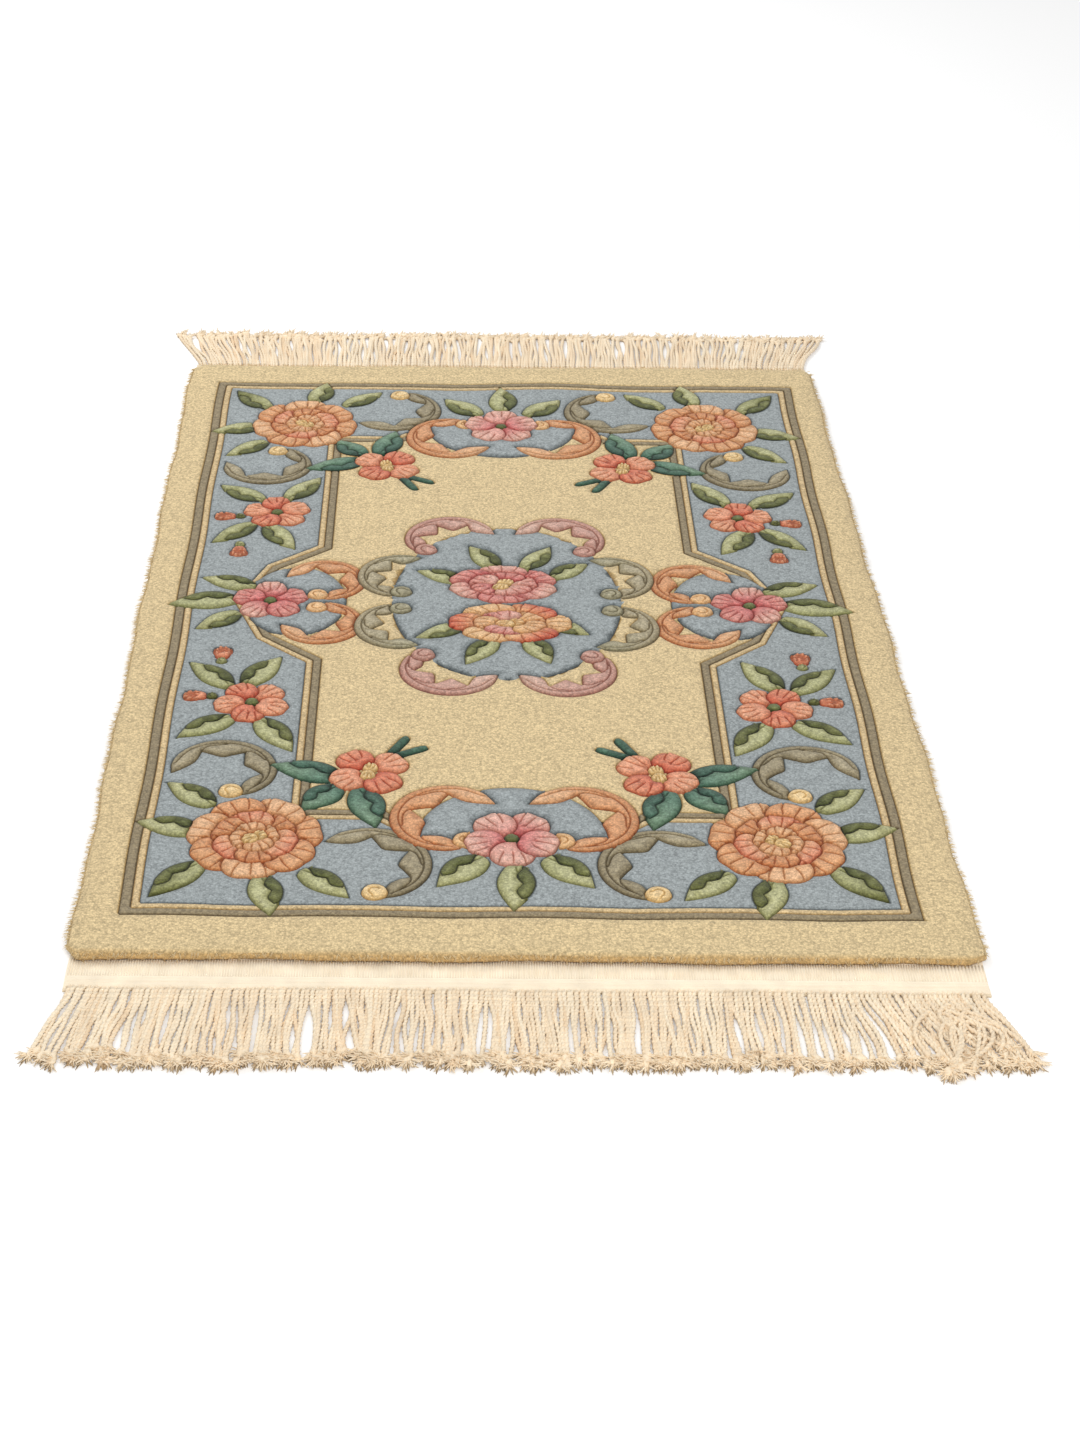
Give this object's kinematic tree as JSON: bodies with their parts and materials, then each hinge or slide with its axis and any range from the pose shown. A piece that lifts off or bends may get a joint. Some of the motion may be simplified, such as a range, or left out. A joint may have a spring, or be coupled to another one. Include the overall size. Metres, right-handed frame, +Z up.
{
  "type": "chinese rug",
  "caption": "A rectangular hand-knotted wool pile rug with a carved floral pattern, plain woven ends and a knotted cotton fringe at each end, lying flat",
  "frame": {"origin": "on the floor under the middle of the whole rug, fringes included", "axes": "+Z up from the floor, +Y along the rug's length from the front fringe to the back one, +X across it"},
  "size_m": [0.9958, 1.8106, 0.0152],
  "materials": {
    "wool_pile": "carved wool cut pile in beige, blue, rose and green",
    "cotton_fringe": "undyed plied cotton cord"
  },
  "bodies": {
    "root": {"rug_body": "wool_pile", "fringe_front": "cotton_fringe", "fringe_back": "cotton_fringe"}
  },
  "joints": []
}
